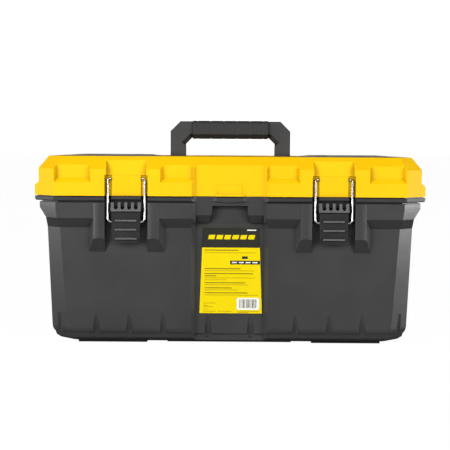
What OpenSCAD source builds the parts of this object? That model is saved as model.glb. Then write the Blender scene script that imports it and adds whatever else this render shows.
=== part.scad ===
// Toolbox with a lift-out tray: tapered box, hinged lid with two top organisers,
// two wire latches and a fold-down handle.
// Axes: X along the length, front face towards -Y, Z up. Origin on the floor, under the centre.
// The origin's X and Y are the middle of the overall size with the lid closed.

/* [Overall] */
// Length over the rim
rim_l = 562; // [520:1:600]
// Depth of the rim, front to back
rim_d = 268; // [250:1:290]
// Corner chamfer of the rim
rim_c = 31; // [20:1:40]
// Height of the top of the box rim
rim_z = 207; // [190:1:220]
// Height of the flat top of the lid
lid_z = 263.5; // [250:0.5:280]
// Wall thickness of the mouldings
wall = 3; // [2:0.5:4]
// Depth of the box's foot below the plane from which heights are measured
foot_h = 6.5; // [4:0.5:10]

/* [Box] */
// Half length of the box at its bottom edge
low_a = 257.3; // [245:0.1:262]
// Half length of the upper band of the box
band_a = 273.5; // [260:0.5:280]
// Half depth of the upper band
band_b = 132.5; // [125:0.5:134]
// Half depth of the main panel at its top
panel_b = 123; // [115:0.5:128]
// Half depth of the main panel at its bottom
panel_b_low = 119; // [110:0.5:125]
// Half width of the recessed centre panel at its top
centre_w = 48.3; // [40:0.1:60]
// Depth of the centre panel behind the main panel
centre_d = 8; // [4:0.5:12]
// Half width of the buttress pair around a latch
buttress_w = 46.5; // [38:0.5:55]

/* [Latch] */
// Distance of each latch from the middle
latch_x = 147; // [120:1:170]
// Half width of the bay that holds a latch
bay_w = 30.5; // [26:0.5:34]
// Width of the latch lever
lever_w = 42.7; // [36:0.1:46]
// Height of the lever's lower end
lever_low = 140.7; // [130:0.1:150]
// Height of the lever's pivot
lever_z = 193; // [188:0.5:195]
// Half spacing of the bail's two wires
bail_x = 26; // [24:0.5:28]
// Radius of the bail wire
bail_r = 1.7; // [1.2:0.1:2]
// Height of the bail's pivot in the lever
bail_z = 170.4; // [160:0.1:180]

/* [Handle] */
// Half width of the handle
handle_w = 90.7; // [80:0.5:100]
// Width of each handle leg
leg_w = 23.3; // [18:0.1:28]
// Height of the top of the handle when upright
handle_top = 316; // [300:0.5:330]
// Half length of the grip
grip_w = 56.8; // [45:0.1:65]
// Height of the handle pivot
handle_z = 256; // [250:0.5:258]

/* [Tray] */
// Height of the underside of the tray
tray_z = 152; // [130:1:160]
// Half length of the tray at its rim
tray_a = 252; // [230:1:256]
// Half depth of the tray at its rim
tray_b = 107; // [95:1:108]

/* [Organisers] */
// Inner end of each organiser well
well_x0 = 107; // [105:1:115]
// Outer end of each organiser well
well_x1 = 246; // [230:1:247]
// Half depth of each organiser well
well_b = 85; // [70:1:87]

/* [Hidden] */
rim_a = rim_l / 2;
rim_b = rim_d / 2;
lid_z0 = rim_z + 0.6;
seam_z = rim_z - 1.2;
groove_z = 198;
hinge_y = rim_b + 1;
hinge_z = rim_z + 0.3;
hinge_x = 150;
slot_y = 112;
lever_y = -129.5;
finger_gap = 9.4;
bail_y = -132.2;
cover_y = 95.5;
cover_z = 262.4;
dark = [0.13, 0.13, 0.135];
yellow = [0.95, 0.72, 0.03];
steel = [0.7, 0.7, 0.72];

// An eight-sided loft: each level is [z, half length, half depth, corner chamfer]
module loft(levels) {
  points = [for (l = levels) each [
    [l[1] - l[3], -l[2], l[0]], [l[1], -l[2] + l[3], l[0]],
    [l[1], l[2] - l[3], l[0]], [l[1] - l[3], l[2], l[0]],
    [-l[1] + l[3], l[2], l[0]], [-l[1], l[2] - l[3], l[0]],
    [-l[1], -l[2] + l[3], l[0]], [-l[1] + l[3], -l[2], l[0]]]];
  n = len(levels);
  faces = concat([[for (i = [0:7]) i]],
    [for (k = [0:n - 2]) for (i = [0:7])
      [k * 8 + i, (k + 1) * 8 + i, (k + 1) * 8 + (i + 1) % 8, k * 8 + (i + 1) % 8]],
    [[for (i = [7:-1:0]) (n - 1) * 8 + i]]);
  polyhedron(points, faces);
}

// A prism along X from a profile in (y, z), centred on x
module bar_x(x, w, profile) {
  translate([x - w / 2, 0, 0]) rotate([90, 0, 90]) linear_extrude(w) polygon(profile);
}

// A block given by its low and high corners
module block(lo, hi) {
  translate(lo) cube(hi - lo);
}

// Stands a part, drawn from the reference plane, on the floor
module raised() {
  translate([0, 0, foot_h]) children();
}

// A rod along X
module rod_x(x0, x1, y, z, r) {
  translate([x0, y, z]) rotate([0, 90, 0]) cylinder(h = x1 - x0, r = r, $fn = 48);
}

module sides() {
  for (s = [-1, 1]) translate([s * latch_x, 0, 0]) children();
}

// ---- lower box ----

module box_outer() {
  loft([[-3.8, 232, 100, 18], [-1.2, 246, 108.2, 21], [3, low_a - 5.1, panel_b_low - 5.1, 24.5],
    [8.6, low_a - 3.3, panel_b_low - 3.3, 25], [10.8, low_a - 1.6, panel_b_low - 1.6, 25.2],
    [13.5, low_a - 0.4, panel_b_low - 0.4, 25.4], [18, low_a + 0.4, panel_b_low + 0.3, 25.3],
    [162, 262.8, panel_b, 20.8], [175.9, 263.3, band_b, 18.3], [190, band_a, band_b, 26.5],
    [groove_z, band_a, band_b, 26.5], [groove_z + 0.2, band_a - 4, band_b - 4, 24.8],
    [201, band_a - 4, band_b - 4, 24.8]]);
  loft([[200, rim_a - 1.8, rim_b - 1.8, rim_c - 0.7], [201.4, rim_a - 0.5, rim_b - 0.5, rim_c - 0.2],
    [seam_z, rim_a, rim_b, rim_c], [seam_z + 0.2, rim_a - 4, rim_b - 4, rim_c - 1.6],
    [rim_z, rim_a - 4, rim_b - 4, rim_c - 1.6]]);
  loft([[206, 270, 129, 26], [rim_z + 4, 269.4, 128.4, 26]]);
  for (s = [-1, 1]) {
    block([min(s * 119.5, s * 219), -98, -foot_h], [max(s * 119.5, s * 219), 98, -2]);
  }
  block([-90, -92, -foot_h], [90, 92, -2]);
}

// Cavity, left solid behind the recesses of the front
module box_cavity() {
  difference() {
    loft([[wall - 1.5, 236, 101, 19], [9, low_a - 7.5, panel_b_low - 7.5, 24],
      [36, low_a - wall + 1, panel_b_low - wall + 0.7, 23.7], [162, 259.8, panel_b - wall, 19.6],
      [180, 262, band_b - wall, 20], [192, 266.4, 125.4, 24], [rim_z + 5, 266.4, 125.4, 24]]);
    bar_x(0, 2 * centre_w + 16, [[-rim_b, 0], [-103.4, 0], [-103.4, 12], [-108, 24],
      [-111.8, 162], [-111.8, rim_z - 5],
      [-121, rim_z + 6], [-rim_b, rim_z + 6]]);
    sides() bar_x(0, 2 * bay_w + 8, [[-rim_b, 116], [-120, 126], [-slot_y + 3, 160],
      [-slot_y + 3, rim_z], [-rim_b, rim_z]]);
  }
}

// Solid pair of buttresses that frames a latch bay: crowned fronts and drafted outer sides
module buttress() {
  w = buttress_w;
  for (m = [0, 1]) mirror([m, 0, 0]) intersection() {
    bar_x(w, 2 * w, [[-rim_b, groove_z], [-rim_b, 148], [-panel_b + 1, 127], [-115, 127],
      [-115, groove_z]]);
    translate([0, 0, 120]) linear_extrude(90) polygon([[bay_w - 5, -115], [bay_w - 5, -rim_b - 1],
      [w, -rim_b - 1], [w, -rim_b + 1], [w + 7.5, -panel_b + 1], [w + 7.5, -115]]);
    translate([(bay_w + w) / 2, 40 - rim_b, 120]) cylinder(h = 90, r = 39.8, $fn = 96);
  }
}

module latch_bay_cut() {
  bar_x(0, 2 * bay_w, [[-rim_b - 1, 100], [-panel_b + 0.95, 127], [-panel_b + 0.6, 140],
    [-119, 168], [-119, rim_z + 5], [-rim_b - 1, rim_z + 5]]);
  for (s = [-1, 1]) bar_x(s * 25.7, 7.8, [[-120, 169], [-slot_y, 172], [-slot_y, rim_z + 1],
    [-120, rim_z + 1]]);
}

// Central tongue of the rim inside a bay, and the lugs that carry the lever's pin
module latch_bay_fill() {
  block([-21, -rim_b, 203], [21, -118, seam_z]);
  block([-21, -rim_b + 4, 203], [21, -118, rim_z]);
  difference() {
    for (i = [-1:1]) {
      x = i * finger_gap;
      rod_x(x - 1.7, x + 1.7, lever_y, lever_z, 3);
      bar_x(x, 3.4, [[lever_y, lever_z - 3], [-118, lever_z - 8], [-118, lever_z + 1.8],
        [lever_y, lever_z + 1.8]]);
    }
    rod_x(-16, 16, lever_y, lever_z, 1.45);
  }
}

// Flute pressed into the wall near the floor: a round groove that runs out upwards
module flute() {
  translate([0, 0.4, -5]) rotate([atan(4 / 26), 0, 0]) cylinder(h = 36, r = 4.6, $fn = 48);
}

// Recess of the middle panel, with slanted sides, deeper under the foot of the wall
module centre_cut() {
  d = centre_d;
  w = centre_w;
  sides_cut = [[-w - 6.5, -20], [-w - 6.5, 0], [-w, d], [w, d], [w + 6.5, 0], [w + 6.5, -20]];
  lean = atan((panel_b - panel_b_low) / 155);
  translate([0, -panel_b_low, 8.6]) rotate([lean, 0, 0]) linear_extrude(161) polygon(sides_cut);
  translate([0, 3.3 - panel_b_low, -5]) linear_extrude(14) polygon(sides_cut);
  translate([0, -band_b - 3, 172]) linear_extrude(28) polygon(sides_cut);
  bar_x(0, 2 * w, [[-rim_b - 2, 160], [-panel_b + d, 164], [-band_b + 5, 180.7], [-rim_b - 2, 182]]);
}

// Finger scoop under the middle of the rim, flaring out into the centre panel
module centre_notch() {
  intersection() {
    bar_x(0, 70, [[-rim_b, 150], [-115.2, 161], [-117, 194.2], [-rim_b, 194.2]]);
    rotate([90, 0, 0]) linear_extrude(rim_b + 10) polygon([[-25.2, 195], [25.2, 195], [25.6, 184],
      [27.5, 177], [31, 168.5], [31, 150], [-31, 150], [-31, 168.5], [-27.5, 177], [-25.6, 184]]);
  }
}

// The middle of the rim and the lid, set back behind sloping sides
module rim_dip(z0, z1) {
  translate([0, 0, z0]) linear_extrude(z1 - z0)
    polygon([[-55, -rim_b - 1], [-54.4, -rim_b], [-47.4, -rim_b + 7], [47.4, -rim_b + 7],
      [54.4, -rim_b], [55, -rim_b - 1]]);
}

// Shallow pull lip at the middle of the rim, pointed towards its ends
module finger_lip(z0, z1) {
  translate([0, 0, z0]) linear_extrude(z1 - z0)
    polygon([[-25, -rim_b + 8], [-19, -rim_b + 4], [19, -rim_b + 4], [25, -rim_b + 8]]);
}

// The rim's share of the lip, sagging in the middle
module rim_lip() {
  intersection() {
    finger_lip(190, seam_z);
    translate([0, -100, 0]) rotate([90, 0, 0]) linear_extrude(40) polygon([[-26, seam_z],
      [-26, 201.5], [-15, 199.8], [0, 198.8], [15, 199.8], [26, 201.5], [26, seam_z]]);
  }
}

module tray_ledges() {
  for (s = [-1, 1], y = [-62, 62]) {
    block([min(s * 236, s * 263), y - 14, 60], [max(s * 236, s * 263), y + 14, tray_z - 0.3]);
  }
}

module box_hinge(notch) {
  for (s = [-1, 1], k = [-1, 1]) {
    x = s * hinge_x + k * 14;
    if (notch) rod_x(x - 7.4, x + 7.4, hinge_y, hinge_z, 4.5);
    else difference() {
      union() {
        rod_x(x - 7, x + 7, hinge_y, hinge_z, 4);
        bar_x(x, 14, [[hinge_y - 4, 190], [hinge_y - 3, 190], [hinge_y + 4, 199],
          [hinge_y + 4, hinge_z], [hinge_y - 4, hinge_z]]);
      }
      rod_x(x - 8, x + 8, hinge_y, hinge_z, 1.45);
    }
  }
}

module lid_hinge(notch) {
  for (s = [-1, 1]) {
    x = s * hinge_x;
    if (notch) rod_x(x - 7, x + 7, hinge_y, hinge_z, 4.5);
    else difference() {
      union() {
        rod_x(x - 6.6, x + 6.6, hinge_y, hinge_z, 4);
        bar_x(x, 13.2, [[hinge_y - 4, hinge_z], [hinge_y + 4, hinge_z],
          [hinge_y + 4, 216], [hinge_y - 1.5, 224], [hinge_y - 4, 224]]);
      }
      rod_x(x - 8, x + 8, hinge_y, hinge_z, 1.55);
    }
  }
}

module lower_box() {
  color(dark) raised() {
    difference() {
      union() {
        difference() {
          union() {
            box_outer();
            sides() buttress();
          }
          box_cavity();
          centre_cut();
          centre_notch();
          sides() latch_bay_cut();
          for (x = [30.5, 95, 143.4, 191], s = [-1, 1]) {
            translate([s * x, (x < 40 ? centre_d : 0) - panel_b_low, 6.8]) flute();
            translate([s * x, panel_b_low, 6.8]) rotate([0, 0, 180]) flute();
          }
          for (s = [-1, 1], y = [-60, 0, 60])
            translate([s * low_a, y, 6.8]) rotate([0, 0, s * 90]) flute();
          for (sx = [-1, 1], sy = [-1, 1])
            translate([sx * (low_a - 12.8), sy * (panel_b_low - 12.8), 6.8])
              rotate([0, 0, sx * (sy < 0 ? 45 : 135)]) flute();
        }
        sides() latch_bay_fill();
        intersection() {
          tray_ledges();
          loft([[10, 250, 115, 24], [162, 261.5, panel_b, 20]]);
        }
      }
      lid_hinge(true);
      rim_dip(199, rim_z + 1);
      block([-60, -rim_b, rim_z], [60, -118, rim_z + 5]);
      sides() block([-bay_w - 5, -rim_b, rim_z], [bay_w + 5, -slot_y + 4, rim_z + 5]);
    }
    rim_lip();
    box_hinge(false);
  }
}

// Thin sticker on the leaning face of the centre panel
module front_label() {
  color([0.9, 0.78, 0.05]) raised() intersection() {
    bar_x(0, 100, [[-panel_b_low + centre_d - 1.1, 20], [-panel_b + centre_d - 0.9, 167],
      [-panel_b + centre_d - 0.4, 167], [-panel_b_low + centre_d - 0.6, 20]]);
    translate([0, -90, 0]) rotate([90, 0, 0]) linear_extrude(60)
      polygon([[-43.1, 38.5], [46.9, 38.5], [42.2, 162], [-38.4, 162]]);
  }
}

// ---- lid ----

module lid_outer() {
  loft([[lid_z0, rim_a, rim_b, rim_c], [222, rim_a, rim_b, rim_c], [227, 274, rim_b, 24],
    [245.8, 274.5, rim_b, 24.5], [lid_z, 262, rim_b - 22, 20]]);
}

module lid_cavity() {
  difference() {
    loft([[lid_z0 - 1, 278, 131, 29.5], [219, 278, 131, 29.5], [226, 270.5, 123.5, 24],
      [243, 270, 123.5, 24], [lid_z - wall, 256.5, 110, 17]]);
    bar_x(0, 116, [[-rim_b, 200], [-124, 200], [-124, 244], [-112, 262], [-rim_b, 262]]);
    sides() bar_x(0, 2 * bay_w + 8, [[-rim_b, 200], [-122, 200], [-122, 236], [-113, 262],
      [-rim_b, 262]]);
    for (s = [-1, 1]) {
      block([min(s * 98, s * 249), -88, 233.5], [max(s * 98, s * 249), 88, lid_z]);
      block([min(s * 98, s * 256), -95, 256.7], [max(s * 98, s * 256), 102, lid_z]);
    }
    block([-104, -20, 237.5], [104, 68, lid_z]);
  }
}

// Shallow inset in the lid's face, open at the top through the bevel
module lid_inset(x0, x1) {
  for (sy = [-1, 1], sx = [-1, 1]) mirror([sx < 0 ? 1 : 0, 0, 0]) mirror([0, sy > 0 ? 1 : 0, 0])
    intersection() {
      bar_x((x0 + x1) / 2, x1 - x0 + 4, [[-rim_b - 1, 225.6], [-rim_b, 226.5], [-rim_b + 7, 233],
        [-rim_b + 7, lid_z + 1], [-rim_b - 1, lid_z + 1]]);
      linear_extrude(lid_z + 1) polygon([[x0 - 0.5, -rim_b - 1], [x0 + 3.5, -rim_b + 8],
        [x1 - 3.5, -rim_b + 8], [x1 + 0.5, -rim_b - 1]]);
    }
}

module lid_bay() {
  difference() {
    bar_x(0, 2 * bay_w, [[-rim_b - 1, 200], [-126, 200], [-126, 237], [-rim_b - 1, 237]]);
    block([-20.5, -127.6, 200], [20.5, -120, 240]);
  }
  bar_x(0, 57, [[-rim_b - 1, 236.9], [-128, 236.9], [-119, 257.5],
    [-119, lid_z + 1], [-rim_b - 1, lid_z + 1]]);
}

module organizer_pocket() {
  block([103, -92, 259.2], [253, 92, lid_z + 5]);
  block([136, 91, 258.8], [220, 99.2, lid_z + 5]);
  block([168, -95, 260.6], [188, -91, lid_z + 5]);
  w = (well_x1 - well_x0 - 2) / 2;
  for (i = [0:1], j = [0:1]) {
    x = well_x0 + i * (w + 2);
    y = -well_b + j * (well_b + 1);
    block([x, y, 236.5], [x + w, y + well_b - 1, lid_z]);
  }
}

module lid_shell() {
  color(yellow) raised() {
    difference() {
      union() {
        difference() {
          lid_outer();
          lid_cavity();
          lid_inset(197, 249);
          lid_inset(51, 99);
          sides() lid_bay();
          rim_dip(206, lid_z);
          box_hinge(true);
          block([-handle_w - 0.6, -13, 240.5], [handle_w + 0.6, 65, lid_z + 1]);
        }
        finger_lip(lid_z0, 210.6);
        block([-17, -rim_b + 6.2, lid_z0], [17, -rim_b + 8, 223]);
        lid_hinge(false);
        for (s = [-1, 1]) mirror([s < 0 ? 1 : 0, 0, 0]) for (k = [-1, 1])
          rod_x(178 + k * 50 - 6, 178 + k * 50 + 6, cover_y, cover_z, 2.6);
      }
      for (s = [-1, 1]) mirror([s < 0 ? 1 : 0, 0, 0]) {
        organizer_pocket();
        rod_x(120, 236, cover_y, cover_z, 1.15);
      }
      rod_x(-99, 99, 0, handle_z, 2.95);
      for (s = [-1, 1]) rod_x(s * hinge_x - 8, s * hinge_x + 8, hinge_y, hinge_z, 1.55);
    }
  }
}

// ---- pins ----

module hinge_pin(s) {
  color(steel) raised() rod_x(s * hinge_x - 20.5, s * hinge_x + 20.5, hinge_y, hinge_z, 1.5);
}

module latch_pin(s) {
  color(steel) raised() rod_x(s * latch_x - 21, s * latch_x + 21, lever_y, lever_z, 1.5);
}

module handle_pin(s) {
  color(steel) raised() rod_x(min(s * 67, s * 98), max(s * 67, s * 98), 0, handle_z, 3);
}

module organizer_pin(s) {
  color(steel) raised() rod_x(min(s * 122.5, s * 233.5), max(s * 122.5, s * 233.5), cover_y, cover_z, 1.2);
}

// ---- latch ----

module lever() {
  h = lever_w / 2;
  r = 7;
  w = h - 1.8;
  difference() {
    union() {
      intersection() {
        union() {
          bar_x(0, lever_w, [[-135, lever_low], [-136.6, 184.6], [-138.6, 186], [-134.4, 198.5],
            [-133, 198.5], [-133, lever_low + 3], [-133.6, lever_low]]);
          for (s = [-1, 1]) bar_x(s * (h - 2), 4, [[-135, lever_low + 2], [-135, 190],
            [-128.5, 190], [-128.5, lever_low + 8]]);
        }
        translate([0, -120, 0]) rotate([90, 0, 0]) linear_extrude(30) polygon(concat(
          [[-h, 200], [-h, 186], [-h + 0.8, 185.4]],
          [for (a = [0:15:90]) [-w + r - r * cos(a), lever_low + r - r * sin(a)]],
          [for (a = [90:-15:0]) [w - r + r * cos(a), lever_low + r - r * sin(a)]],
          [[h - 0.8, 185.4], [h, 186], [h, 200]]));
      }
      for (s = [-1, 1]) bar_x(s * (h - 2.55), 5.1, [[-134.5, 187], [-134.5, 196], [-130.5, 196.4],
        [lever_y + 2, 195.4], [lever_y + 3, 193], [lever_y + 2, 190.4], [lever_y, 187]]);
      for (z = [147.5, 160.2, 173]) bar_x(0, 30.6, [[-134.5, z - 1.2], [-139, z - 1.2],
        [-138.2, z + 1.2], [-134.5, z + 1.2]]);
    }
    for (i = [-1.5:1:1.5]) translate([i * finger_gap, -130, 0]) rotate([90, 0, 0]) linear_extrude(10)
      polygon([[-2.7, 200], [-2.7, 190.8], [-1.5, 188.8], [1.5, 188.8], [2.7, 190.8], [2.7, 200]]);
    rod_x(-h - 1, h + 1, lever_y, lever_z, 1.55);
    rod_x(-h - 1, h + 1, bail_y, bail_z, bail_r + 0.05);
  }
}

module latch_lever(s) {
  color(dark) raised() translate([s * latch_x, 0, 0]) lever();
}

// One side of the wire: upright with knuckled corners and a hook end beside the lid's tongue
module bail_side() {
  top = bail_z + 62;
  translate([bail_x, bail_y, bail_z]) sphere(r = bail_r + 0.08, $fn = 48);
  translate([bail_x, bail_y, bail_z]) cylinder(h = top - bail_z, r = bail_r, $fn = 48);
  translate([bail_x, bail_y, top]) sphere(r = bail_r + 0.08, $fn = 48);
  translate([bail_x, bail_y, top]) rotate([0, -60, 0]) cylinder(h = 4.4, r = bail_r, $fn = 48);
}

module latch_bail(s) {
  color([0.8, 0.8, 0.82]) raised() translate([s * latch_x, 0, 0]) {
    bail_side();
    mirror([1, 0, 0]) bail_side();
    rod_x(-bail_x, bail_x, bail_y, bail_z, bail_r);
  }
}

// ---- handle ----

// Slanted lower edge of the bar, on both faces
module bar_bevel(len) {
  for (m = [0, 1]) mirror([0, m, 0])
    bar_x(0, len, [[-12, -3], [-12, 8.4], [-3.2, -0.3], [-3.2, -3]]);
}

module handle_frame() {
  w = handle_w;
  i = handle_w - leg_w;
  color(dark) raised() difference() {
    union() {
      translate([0, 10, 0]) rotate([90, 0, 0]) linear_extrude(20) polygon([[-w, handle_z],
        [-w, handle_top - 15], [-w + 15, handle_top], [w - 15, handle_top], [w, handle_top - 15],
        [w, handle_z], [i, handle_z], [i, 282], [i - 9, 291], [-i + 9, 291], [-i, 282],
        [-i, handle_z]]);
      for (s = [-1, 1]) rod_x(min(s * i, s * w), max(s * i, s * w), 0, handle_z, 10);
    }
    rod_x(-w - 1, w + 1, 0, handle_z, 3.05);
    translate([0, 0, 291]) bar_bevel(2 * (i - 9) + 4);
    for (s = [-1, 1]) translate([s * (i - 4), 0, 286]) rotate([0, s * 45, 0]) bar_bevel(17);
    for (s = [-1, 1]) block([-grip_w - 0.2, min(s * 7, s * 12), 280],
      [grip_w + 0.2, max(s * 7, s * 12), 330]);
    block([-grip_w - 0.2, -20, handle_top - 3], [grip_w + 0.2, 20, 330]);
  }
}

// Grip sleeve: plain collars at its ends and crowned segments parted by grooves
module handle_grip() {
  color([0.1, 0.1, 0.105]) raised() difference() {
    translate([-grip_w, 0, 0]) rotate([90, 0, 90]) linear_extrude(2 * grip_w)
      polygon([[-14, 296.5], [-14, 313], [-11, 316.8], [11, 316.8], [14, 313], [14, 296.5],
        [7, 289.5], [-7, 289.5]]);
    block([-grip_w - 1, -7.1, 290.9], [grip_w + 1, 7.1, handle_top - 2.9]);
    for (i = [-2.5:1:2.5]) for (s = [-1, 1]) {
      translate([i * 19.9, s * 14.8, 280]) cylinder(h = 60, r = 1.5, $fn = 32);
      translate([i * 19.9, 20, s > 0 ? 317.6 : 288.7]) rotate([90, 0, 0])
        cylinder(h = 40, r = 1.5, $fn = 32);
    }
  }
}

// ---- organiser covers ----

module organizer_cover(s) {
  color([0.75, 0.75, 0.72, 0.5]) raised() mirror([s < 0 ? 1 : 0, 0, 0]) difference() {
    union() {
      block([103.5, -91.5, 259.5], [252.5, 91.5, 261.4]);
      translate([178, 0, 0]) loft([[261, 71, 87, 6], [263.6, 68, 84, 6], [265.4, 52, 68, 6]]);
      for (k = [-1, 1]) rod_x(178 + k * 32 - 9, 178 + k * 32 + 9, cover_y, cover_z, 2.6);
      for (k = [-1, 1]) bar_x(178 + k * 32, 18, [[90, 259.5], [cover_y - 1, 259.5],
        [cover_y, cover_z + 1], [90, 261.4]]);
      block([170, -93.5, 261], [186, -90, 262.8]);
    }
    translate([178, 0, 0]) loft([[259, 69, 85, 5], [262, 66.5, 82.5, 5], [263.8, 51, 67, 5]]);
    rod_x(120, 240, cover_y, cover_z, 1.25);
  }
}

// ---- tray ----

module tray() {
  z = tray_z;
  color(dark) raised() difference() {
    union() {
      difference() {
        union() {
          loft([[z, tray_a - 8, tray_b - 5, 20], [z + 46, tray_a - 4, tray_b - 3.5, 22]]);
          loft([[z + 44, tray_a, tray_b, 24], [z + 47, tray_a, tray_b, 24]]);
        }
        loft([[z + 2.5, tray_a - 10.5, tray_b - 7.5, 19], [z + 50, tray_a - 6.5, tray_b - 6, 21]]);
      }
      for (x = [-110, 110])
        block([x - 1.25, -tray_b + 5.5, z + 1], [x + 1.25, tray_b - 5.5, z + 38]);
      block([-tray_a + 7, -1.25, z + 1], [tray_a - 7, 1.25, z + 40]);
      for (s = [-1, 1]) bar_x(s * 62, 6, [[-9, z + 2], [9, z + 2], [8, z + 61], [-8, z + 61]]);
      rod_x(-65, 65, 0, z + 60, 8);
    }
    block([-59, -2, z + 26], [59, 2, z + 45]);
  }
}

lower_box();
front_label();
lid_shell();
hinge_pin(-1);  // lid_hinge_pin_left
hinge_pin(1);  // lid_hinge_pin_right
latch_lever(-1);  // latch_lever_left
latch_lever(1);  // latch_lever_right
latch_pin(-1);  // latch_pin_left
latch_pin(1);  // latch_pin_right
latch_bail(-1);  // latch_bail_left
latch_bail(1);  // latch_bail_right
handle_frame();
handle_grip();
handle_pin(-1);  // handle_pin_left
handle_pin(1);  // handle_pin_right
organizer_cover(-1);  // organizer_cover_left
organizer_cover(1);  // organizer_cover_right
organizer_pin(-1);  // organizer_pin_left
organizer_pin(1);  // organizer_pin_right
tray();
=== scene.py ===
import math

import bmesh
import bpy
from mathutils import Matrix, Vector


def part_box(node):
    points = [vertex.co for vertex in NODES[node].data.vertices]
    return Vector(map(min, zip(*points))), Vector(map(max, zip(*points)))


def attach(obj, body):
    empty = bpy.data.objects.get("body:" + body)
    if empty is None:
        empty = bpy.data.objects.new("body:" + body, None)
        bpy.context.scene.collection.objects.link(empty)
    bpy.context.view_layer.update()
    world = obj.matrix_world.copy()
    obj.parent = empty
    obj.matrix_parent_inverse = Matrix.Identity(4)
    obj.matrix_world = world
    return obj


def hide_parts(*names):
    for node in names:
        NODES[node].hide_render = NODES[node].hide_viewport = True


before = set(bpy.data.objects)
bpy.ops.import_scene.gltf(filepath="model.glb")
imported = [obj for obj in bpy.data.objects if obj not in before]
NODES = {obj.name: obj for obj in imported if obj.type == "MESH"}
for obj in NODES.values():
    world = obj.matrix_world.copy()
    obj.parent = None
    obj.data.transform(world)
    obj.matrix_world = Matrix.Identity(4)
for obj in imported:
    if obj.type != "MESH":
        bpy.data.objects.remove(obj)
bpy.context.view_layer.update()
MM = 0.001

LID_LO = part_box("lid_shell")[0]
LABEL_LO, LABEL_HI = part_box("front_label")

# What lights the object from all round, near the horizon and overhead, and the white that cameras see
WORLD_LOW = 0.28
WORLD_HIGH = 0.13
LOW_ENDS, HIGH_STARTS = 0.16, 0.5
BACKDROP = 1.14
FLOOR_GLOW = 0.86


# ---- small helpers ----

def new_object(name, mesh, body, mats=()):
    obj = bpy.data.objects.new(name, mesh)
    bpy.context.scene.collection.objects.link(obj)
    for m in mats:
        mesh.materials.append(m)
    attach(obj, body)
    return obj


def closed_mesh(name, verts, faces):
    """A mesh whose faces all look outwards."""
    mesh = bpy.data.meshes.new(name)
    mesh.from_pydata(verts, [], faces)
    bm = bmesh.new()
    bm.from_mesh(mesh)
    bmesh.ops.recalc_face_normals(bm, faces=bm.faces)
    bm.to_mesh(mesh)
    bm.free()
    return mesh


def node_tree(name):
    mat = bpy.data.materials.new(name)
    mat.use_nodes = True
    nt = mat.node_tree
    return mat, nt, nt.nodes["Principled BSDF"]


def object_coords(nt, scale=(1, 1, 1)):
    coords = nt.nodes.new("ShaderNodeTexCoord")
    mapping = nt.nodes.new("ShaderNodeMapping")
    mapping.inputs["Scale"].default_value = scale
    nt.links.new(coords.outputs["Object"], mapping.inputs["Vector"])
    return mapping.outputs["Vector"]


def noise(nt, vector, scale, detail=3.0, roughness=0.5):
    n = nt.nodes.new("ShaderNodeTexNoise")
    n.inputs["Scale"].default_value = scale
    n.inputs["Detail"].default_value = detail
    n.inputs["Roughness"].default_value = roughness
    nt.links.new(vector, n.inputs["Vector"])
    return n.outputs["Fac"]


def remap(nt, value, lo, hi, out_lo, out_hi):
    m = nt.nodes.new("ShaderNodeMapRange")
    m.inputs["From Min"].default_value = lo
    m.inputs["From Max"].default_value = hi
    m.inputs["To Min"].default_value = out_lo
    m.inputs["To Max"].default_value = out_hi
    nt.links.new(value, m.inputs["Value"])
    return m.outputs["Result"]


def mix_colour(nt, fac, a, b):
    m = nt.nodes.new("ShaderNodeMix")
    m.data_type = "RGBA"
    m.inputs["A"].default_value = (*a, 1)
    m.inputs["B"].default_value = (*b, 1)
    nt.links.new(fac, m.inputs["Factor"])
    return m.outputs["Result"]


def bump(nt, bsdf, height, strength, distance):
    b = nt.nodes.new("ShaderNodeBump")
    b.inputs["Strength"].default_value = strength
    b.inputs["Distance"].default_value = distance
    nt.links.new(height, b.inputs["Height"])
    nt.links.new(b.outputs["Normal"], bsdf.inputs["Normal"])


# ---- materials ----

# Reach and occlusion range of the painted shade in creases
CREASE_REACH = 9 * MM
CREASE_SHUT, CREASE_OPEN = 0.25, 0.95


def painted_crease_shade(nt, colour, depth):
    """Darkens a colour by the depth in creases narrower than CREASE_REACH: painted shade where the
    surface is occluded.
    """
    ao = nt.nodes.new("ShaderNodeAmbientOcclusion")
    ao.samples = 8
    ao.inputs["Distance"].default_value = CREASE_REACH
    m = nt.nodes.new("ShaderNodeMix")
    m.data_type = "RGBA"
    m.blend_type = "MULTIPLY"
    m.inputs["Factor"].default_value = 1.0
    nt.links.new(colour, m.inputs["A"])
    shade = remap(nt, ao.outputs["AO"], CREASE_SHUT, CREASE_OPEN, 1 - depth, 1)
    nt.links.new(shade, m.inputs["B"])
    return m.outputs["Result"]


def moulded_plastic(name, light, dark, rough, grain=2600.0, grain_strength=0.25, specular=0.5,
                    crease=0.85):
    """Injection-moulded plastic: soft tone drift, fine spark-eroded grain, slightly uneven sheen,
    painted shade in creases.
    """
    mat, nt, bsdf = node_tree(name)
    vec = object_coords(nt)
    drift = noise(nt, vec, 7.0, 4.0)
    unshaded_tone = mix_colour(nt, remap(nt, drift, 0.35, 0.65, 0, 1), dark, light)
    # Painted shade darkens the tone in creases, by the share given in crease
    nt.links.new(painted_crease_shade(nt, unshaded_tone, crease), bsdf.inputs["Base Color"])
    nt.links.new(remap(nt, noise(nt, vec, 24.0, 5.0), 0.3, 0.7, rough - 0.04, rough + 0.05),
                 bsdf.inputs["Roughness"])
    bsdf.inputs["Specular IOR Level"].default_value = specular
    bump(nt, bsdf, noise(nt, vec, grain, 2.0), grain_strength, 0.12 * MM)
    return mat


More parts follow.
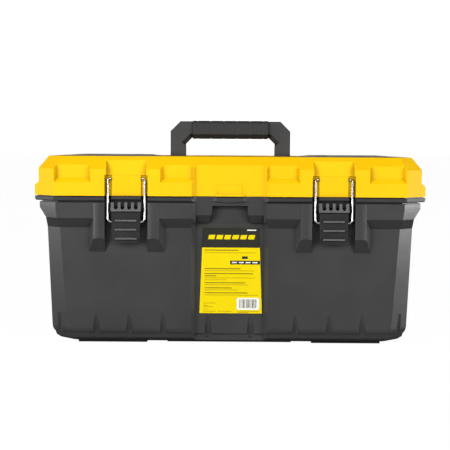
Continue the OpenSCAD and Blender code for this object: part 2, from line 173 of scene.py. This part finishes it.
def polished_metal(name, tone, rough):
    """Plated or drawn wire with faint lengthwise wear."""
    mat, nt, bsdf = node_tree(name)
    vec = object_coords(nt, (1, 1, 0.15))
    nt.links.new(mix_colour(nt, noise(nt, vec, 260.0), [c * 0.88 for c in tone], tone),
                 bsdf.inputs["Base Color"])
    nt.links.new(remap(nt, noise(nt, vec, 140.0), 0.3, 0.7, rough * 0.8, rough * 1.3),
                 bsdf.inputs["Roughness"])
    bsdf.inputs["Metallic"].default_value = 1.0
    bump(nt, bsdf, noise(nt, vec, 900.0), 0.08, 0.1 * MM)
    return mat


def smoked_clear(name):
    """Thin translucent cover plastic, light enough to show the wells below."""
    mat, nt, bsdf = node_tree(name)
    vec = object_coords(nt)
    nt.links.new(mix_colour(nt, noise(nt, vec, 9.0), (0.13, 0.12, 0.10), (0.16, 0.15, 0.125)),
                 bsdf.inputs["Base Color"])
    nt.links.new(remap(nt, noise(nt, vec, 40.0), 0.3, 0.7, 0.16, 0.26), bsdf.inputs["Roughness"])
    bsdf.inputs["Alpha"].default_value = 0.7
    bump(nt, bsdf, noise(nt, vec, 700.0), 0.05, 0.1 * MM)
    return mat


def printed_film(name, tone):
    """Flat printed label colour with a barely uneven ink layer."""
    mat, nt, bsdf = node_tree(name)
    vec = object_coords(nt)
    nt.links.new(mix_colour(nt, noise(nt, vec, 60.0), [c * 0.94 for c in tone], tone),
                 bsdf.inputs["Base Color"])
    nt.links.new(remap(nt, noise(nt, vec, 90.0), 0.3, 0.7, 0.32, 0.42), bsdf.inputs["Roughness"])
    bsdf.inputs["Specular IOR Level"].default_value = 0.15
    bump(nt, bsdf, noise(nt, vec, 1500.0), 0.05, 0.05 * MM)
    return mat


def seen_by_camera(nt, share):
    """The share for rays straight from any camera, wherever it stands, and nothing for the rest."""
    path = nt.nodes.new("ShaderNodeLightPath")
    return remap(nt, path.outputs["Is Camera Ray"], 0, 1, 0, share)


def studio_floor(name):
    """Pale floor that merges with the white backdrop but still takes a faint shadow."""
    mat, nt, bsdf = node_tree(name)
    vec = object_coords(nt)
    nt.links.new(mix_colour(nt, noise(nt, vec, 0.6), (0.12, 0.12, 0.12), (0.14, 0.14, 0.14)),
                 bsdf.inputs["Base Color"])
    bsdf.inputs["Roughness"].default_value = 0.7
    bsdf.inputs["Specular IOR Level"].default_value = 0.1
    glow = nt.nodes.new("ShaderNodeEmission")
    glow.inputs["Color"].default_value = (1, 1, 1, 1)
    glow.inputs["Strength"].default_value = BACKDROP
    mix = nt.nodes.new("ShaderNodeMixShader")
    nt.links.new(seen_by_camera(nt, FLOOR_GLOW), mix.inputs["Fac"])
    nt.links.new(bsdf.outputs["BSDF"], mix.inputs[1])
    nt.links.new(glow.outputs["Emission"], mix.inputs[2])
    nt.links.new(mix.outputs["Shader"], nt.nodes["Material Output"].inputs["Surface"])
    return mat


MATS = {
    "charcoal": moulded_plastic("charcoal_plastic", (0.0245, 0.0245, 0.0250), (0.0215, 0.0215, 0.0220),
                                0.36, specular=0.40),
    "latch": moulded_plastic("latch_plastic", (0.0105, 0.0105, 0.0108), (0.0095, 0.0095, 0.0098), 0.32,
                             specular=0.5),
    "tray": moulded_plastic("tray_plastic", (0.018, 0.018, 0.019), (0.015, 0.015, 0.016), 0.5),
    "yellow": moulded_plastic("yellow_plastic", (0.60, 0.350, 0.0005), (0.58, 0.336, 0.0005), 0.55,
                              grain_strength=0.12, specular=0.10, crease=0.45),
    "grip": moulded_plastic("grip_rubber", (0.0115, 0.0115, 0.012), (0.0100, 0.0100, 0.0105), 0.6,
                            grain=1800.0, specular=0.3),
    "chrome": polished_metal("chrome_wire", (0.37, 0.36, 0.34), 0.14),
    "steel": polished_metal("steel_pin", (0.50, 0.50, 0.52), 0.28),
    "black_steel": polished_metal("blackened_pin", (0.035, 0.035, 0.037), 0.4),
    "clear": smoked_clear("smoked_cover"),
    "label": printed_film("label_yellow", (0.53, 0.41, 0.0005)),
    "label_dark": printed_film("label_charcoal", (0.017, 0.017, 0.013)),
    "label_ink": printed_film("label_ink", (0.13, 0.10, 0.005)),
    "label_faint": printed_film("label_faint_ink", (0.30, 0.22, 0.003)),
    "label_grey": printed_film("label_grey", (0.09, 0.09, 0.075)),
    "label_white": printed_film("label_white", (0.55, 0.55, 0.50)),
    "floor": studio_floor("studio_floor"),
}


# ---- CAD nodes: rounded edges and materials ----

def dress(node, mat, bevel=0.0, segments=2, angle=25):
    """Gives a CAD node its material and rounds its hard edges with modifiers only."""
    obj = NODES[node]
    obj.data.materials.clear()
    obj.data.materials.append(MATS[mat])
    for p in obj.data.polygons:
        p.use_smooth = True
    if bevel:
        weld = obj.modifiers.new("weld", "WELD")
        weld.merge_threshold = 0.01 * MM
        flat = obj.modifiers.new("flat", "DECIMATE")
        flat.decimate_type = "DISSOLVE"
        flat.angle_limit = math.radians(0.6)
        flat.use_dissolve_boundaries = False
        edge = obj.modifiers.new("edge", "BEVEL")
        edge.width = bevel
        edge.segments = segments
        edge.limit_method = "ANGLE"
        edge.angle_limit = math.radians(angle)
        edge.harden_normals = True
        edge.use_clamp_overlap = True
        tidy = obj.modifiers.new("shade", "WEIGHTED_NORMAL")
        tidy.keep_sharp = True


def dress_nodes():
    dress("lower_box", "charcoal", 0.9 * MM)
    dress("lid_shell", "yellow", 0.9 * MM)
    dress("tray", "tray", 0.6 * MM)
    dress("handle_frame", "charcoal", 1.5 * MM, 3)
    dress("handle_grip", "grip", 0.8 * MM)
    dress("front_label", "label")
    for side in ("left", "right"):
        dress("lid_hinge_pin_" + side, "steel", 0.2 * MM)
        dress("latch_lever_" + side, "latch", 0.7 * MM)
        dress("latch_pin_" + side, "black_steel", 0.2 * MM)
        dress("handle_pin_" + side, "steel", 0.2 * MM)
        dress("organizer_cover_" + side, "clear", 0.6 * MM)
        dress("organizer_pin_" + side, "steel", 0.2 * MM)


# ---- label on the centre panel ----

LABEL_TAPER = 0.8956
LABEL_X = (LABEL_LO.x + LABEL_HI.x) / 2
LABEL_THICK = 0.5 * MM
FILM = 0.25 * MM
FILM_FIT = 0.96
FIELD_TOP = LABEL_HI.z - 28.3 * MM

# Everything printed is laid out in mm: x from the label's middle, tops below the yellow field's edge
TEXT_X = -37.7
NOTE_X = -39.2
# Lines of small print: middle, left end, right end
BOLD_LINES = [(3.7, TEXT_X, 10.6), (30.4, TEXT_X, 13.6), (37.6, TEXT_X, 32), (40.8, TEXT_X, -21),
              (50.9, TEXT_X, 20.2), (58.3, TEXT_X, 1.4), (65.5, TEXT_X, 24.3)]
FINE_LINES = [(7.4, TEXT_X, 36), (33.4, TEXT_X, 33.5), (43.7, TEXT_X, 34.5), (46.6, TEXT_X, -6.7),
              (53.8, TEXT_X, 24.3), (61.2, TEXT_X, 10), (68.6, TEXT_X, 38.5), (80.3, NOTE_X, -22),
              (83.7, NOTE_X, -33), (85.6, NOTE_X, -26), (89, NOTE_X, -33), (92.2, NOTE_X, -21.5),
              (92.2, -18.4, 1), (91.9, 10, 40), (94, 10, 25)]
# Round corners of the code panel
CORNER_STEPS = 4
# Slanted blocks of the mark in the dark header, above the field's edge
MARK_X, MARK_PITCH, MARK_WIDTH, MARK_SLANT = -33, 11.4, 9.0, 1.6
MARK_LOW, MARK_HIGH = 12.0, 18.2
# Light dashes in the dark size bar
DASH_X, DASH_PITCH, DASH_WIDTH = 1.5, 9.8, 7.1
# Stripes of the code panel: left end, width
STRIPES = [(12.5, 0.8), (14.6, 0.6), (17.2, 1.6), (19.8, 0.6), (22, 0.9), (24.2, 1.6), (26.8, 0.6),
           (28.8, 0.8), (31, 1.7), (33.6, 0.6), (35.6, 1.2)]


def label_point(x, z, lift):
    """A point on the leaning label face; lift is how far it stands off."""
    t = (z - LABEL_LO.z) / (LABEL_HI.z - LABEL_LO.z)
    low_y = LABEL_HI.y - LABEL_THICK
    return Vector((LABEL_X + x, low_y + (LABEL_LO.y - low_y) * t - lift, z))


def label_half(z):
    """Half width of the label at height z."""
    t = (z - LABEL_LO.z) / (LABEL_HI.z - LABEL_LO.z)
    return (LABEL_HI.x - LABEL_X) * (1 + (LABEL_TAPER - 1) * t)


def label_patches(name, outlines, layer, mat):
    """Thin printed patches in one piece: each outline is a list of (x, z), layers count outwards."""
    verts, faces = [], []
    for corners in outlines:
        n, k = len(corners), len(verts)
        verts += [label_point(x, z, layer * FILM) for x, z in corners]
        verts += [label_point(x, z, (layer - FILM_FIT) * FILM) for x, z in corners]
        faces += [[k + i for i in range(n)], [k + 2 * n - 1 - i for i in range(n)]]
        faces += [[k + i, k + n + i, k + n + (i + 1) % n, k + (i + 1) % n] for i in range(n)]
    mesh = closed_mesh(name, verts, faces)
    return new_object(name, mesh, "box", [MATS[mat]])


def strip(x0, x1, top, height):
    """A rectangle on the label."""
    z1 = FIELD_TOP - top * MM
    z0 = z1 - height * MM
    return [(x0 * MM, z0), (x1 * MM, z0), (x1 * MM, z1), (x0 * MM, z1)]


def rounded(x0, x1, top, height, r):
    """A rectangle on the label with round corners."""
    z1 = -top
    z0 = z1 - height
    out = []
    for cx, cz, start in ((x1 - r, z1 - r, 0), (x0 + r, z1 - r, 90), (x0 + r, z0 + r, 180),
                          (x1 - r, z0 + r, 270)):
        for step in range(CORNER_STEPS + 1):
            a = math.radians(start + step * 90 / CORNER_STEPS)
            out.append(((cx + r * math.cos(a)) * MM, FIELD_TOP + (cz + r * math.sin(a)) * MM))
    return out


def build_label():
    half_top, half_field = label_half(LABEL_HI.z), label_half(FIELD_TOP)
    label_patches("label_header", [[(-half_field, FIELD_TOP), (half_field, FIELD_TOP),
                                    (half_top, LABEL_HI.z), (-half_top, LABEL_HI.z)]], 1, "label_dark")
    blocks = []
    z0, z1 = FIELD_TOP + MARK_LOW * MM, FIELD_TOP + MARK_HIGH * MM
    for i in range(6):
        x0 = (MARK_X + i * MARK_PITCH) * MM
        x1 = x0 + MARK_WIDTH * MM
        blocks.append([(x0, z0), (x1, z0), (x1 + MARK_SLANT * MM, z1), (x0 + MARK_SLANT * MM, z1)])
    label_patches("label_mark", blocks, 2, "label")
    label_patches("label_small_mark", [strip(22.8, 36, -26, 1.6)], 2, "label_white")
    label_patches("label_bold_lines", [strip(x0, x1, top - 0.6, 1.2) for top, x0, x1 in BOLD_LINES], 1,
                  "label_ink")
    label_patches("label_fine_lines", [strip(x0, x1, top - 0.4, 0.9) for top, x0, x1 in FINE_LINES], 1,
                  "label_faint")
    label_patches("label_size_bar", [strip(-1.1, half_field / MM + 0.2, 18.8, 5.4),
                                     strip(16, 24, 12.6, 3.6)], 1, "label_dark")
    dashes = [DASH_X + i * DASH_PITCH for i in range(4)]
    label_patches("label_size_marks", [strip(x, x + DASH_WIDTH, 20.6, 1.8) for x in dashes], 2,
                  "label_white")
    label_patches("label_code_panel", [rounded(8.5, 41.1, 72.6, 17.5, 2.5)], 1, "label_white")
    label_patches("label_code_stripes", [strip(x, x + w, 74.7, 12.7) for x, w in STRIPES], 2,
                  "label_grey")


# ---- latch wires ----

WIRE_BEND = 5.0 * MM
WIRE_LEAN = 3.2 * MM
LEANING_SHARE = 0.6
WIRE_FIT = 0.94


def arc(cx, cz, r, start, end, steps=8):
    """Points on an arc in the plane of the wire, angles in degrees."""
    out = []
    for i in range(steps + 1):
        a = math.radians(start + (end - start) * i / steps)
        out.append((cx + r * math.cos(a), cz + r * math.sin(a)))
    return out


def wire_side(lo, hi, r, mid):
    """Half of a wire's centreline from the pivot in the lever to its hooked upper end."""
    outer = hi.x - mid - r
    low, top = lo.z + r, hi.z - r
    hook = 0.8 * WIRE_BEND
    pts = [(0.6 * outer, low)]
    pts += arc(outer - WIRE_BEND, low + WIRE_BEND, WIRE_BEND, -90, 0)
    rise = top - low - 2.4 * WIRE_BEND
    pts += [(outer, low + 1.1 * WIRE_BEND + rise * k / 8) for k in range(1, 8)]
    pts += arc(outer - hook, top - 1.2 * WIRE_BEND, hook, 0, 55)
    tip_x, tip_z = pts[-1]
    pts.append((tip_x - 2.6 * MM, tip_z + 1.2 * MM))
    return pts


def wire_lean(z, lo, hi):
    """How far the wire has leant back at height z: only its lower share slopes towards the lid."""
    t = min(1, (z - lo.z) / (hi.z - lo.z) / LEANING_SHARE)
    return WIRE_LEAN * t * (2 - t)


def build_wire(side):
    node = "latch_bail_" + side
    lo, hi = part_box(node)
    r, mid, y = (hi.y - lo.y) / 2, (lo.x + hi.x) / 2, (lo.y + hi.y) / 2
    half = wire_side(lo, hi, r, mid)
    path = [(-x, z) for x, z in reversed(half)] + half
    points = [Vector((mid + x, y + wire_lean(z, lo, hi), z)) for x, z in path]
    obj = tube("latch_wire_" + side, points, WIRE_FIT * r, "chrome", "bail_" + side)
    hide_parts(node)


def tube(name, path, radius, mat, body, sides=16):
    """A round wire swept along a path that stays close to a plane of constant y."""
    verts, faces = [], []
    n = len(path)
    for i, p in enumerate(path):
        along = (path[min(i + 1, n - 1)] - path[max(i - 1, 0)]).normalized()
        up = along.cross(Vector((0, 1, 0))).normalized()
        across = up.cross(along)
        for k in range(sides):
            a = 2 * math.pi * k / sides
            verts.append(p + radius * (math.cos(a) * across + math.sin(a) * up))
    for i in range(n - 1):
        for k in range(sides):
            j = (k + 1) % sides
            faces.append([i * sides + k, i * sides + j, (i + 1) * sides + j, (i + 1) * sides + k])
    faces += [list(range(sides)), [(n - 1) * sides + k for k in range(sides - 1, -1, -1)]]
    mesh = closed_mesh(name, verts, faces)
    for p in mesh.polygons:
        p.use_smooth = len(p.vertices) == 4
    return new_object(name, mesh, body, [MATS[mat]])


# ---- stage ----

def build_world():
    """Surroundings that are dimmer overhead than at the horizon, and plain white to the camera."""
    world = bpy.data.worlds.new("studio")
    bpy.context.scene.world = world
    world.use_nodes = True
    nt = world.node_tree
    coords = nt.nodes.new("ShaderNodeTexCoord")
    split = nt.nodes.new("ShaderNodeSeparateXYZ")
    nt.links.new(coords.outputs["Generated"], split.inputs["Vector"])
    tone = remap(nt, split.outputs["Z"], LOW_ENDS, HIGH_STARTS, WORLD_LOW, WORLD_HIGH)
    show = nt.nodes.new("ShaderNodeMix")
    show.inputs["B"].default_value = BACKDROP
    nt.links.new(seen_by_camera(nt, 1), show.inputs["Factor"])
    nt.links.new(tone, show.inputs["A"])
    nt.links.new(show.outputs["Result"], nt.nodes["Background"].inputs["Color"])
    nt.nodes["Background"].inputs["Strength"].default_value = 1.0


FLOOR_SIZE = 80
FLOOR_GAP = 0.2 * MM


def build_stage():
    bpy.ops.mesh.primitive_plane_add(size=FLOOR_SIZE)
    floor = bpy.context.object
    floor.name = "studio_floor"
    floor.location = (0, 0, -FLOOR_GAP)
    floor.data.materials.append(MATS["floor"])
    build_world()


def area_light(name, place, target, size, power):
    data = bpy.data.lights.new(name, "AREA")
    data.shape = "RECTANGLE"
    data.size, data.size_y = size
    data.energy = power
    obj = bpy.data.objects.new(name, data)
    bpy.context.scene.collection.objects.link(obj)
    obj.location = place
    obj.rotation_euler = (Vector(target) - Vector(place)).to_track_quat("-Z", "Y").to_euler()


# Name, place, what it faces, size and power of each light
LIGHTS = [
    ("front_right", (1.8, -1.9, 0.7), (0, 0, 0.15), (1.2, 1.2), 56),
    ("front_left", (-1.8, -1.9, 0.7), (0, 0, 0.15), (1.2, 1.2), 84),
    ("side_right", (1.7, 0.05, 0.16), (0, 0, 0.1), (1.0, 0.4), 16),
    ("side_left", (-1.7, 0.05, 0.16), (0, 0, 0.1), (1.0, 0.4), 6),
    ("high_front", (0, -1.75, 1.25), (0, 0, 0.2), (2.4, 0.4), 22),
]


# The camera stands well in front, just over the lid, tipped down and barely turned
CAMERA_LENS = 90.75
CAMERA_BACK = 1.6
CAMERA_HEIGHT = 0.286
PITCH, YAW, ROLL = (math.radians(a) for a in (4.007, 0.245, 0.35))


def build_camera():
    data = bpy.data.cameras.new("camera")
    data.sensor_width = 36.0
    data.lens = CAMERA_LENS
    cam = bpy.data.objects.new("camera", data)
    bpy.context.scene.collection.objects.link(cam)
    cam.location = (0, LID_LO.y - CAMERA_BACK, CAMERA_HEIGHT)
    turn = Matrix.Rotation(YAW, 4, "Z") @ Matrix.Rotation(math.pi / 2 - PITCH, 4, "X")
    cam.rotation_euler = (turn @ Matrix.Rotation(ROLL, 4, "Z")).to_euler()
    data.clip_start, data.clip_end = 0.05, 100
    bpy.context.scene.camera = cam


dress_nodes()
build_label()
for side in ("left", "right"):
    build_wire(side)
build_stage()
for light in LIGHTS:
    area_light(*light)
build_camera()
bpy.context.scene.view_settings.view_transform = "Standard"
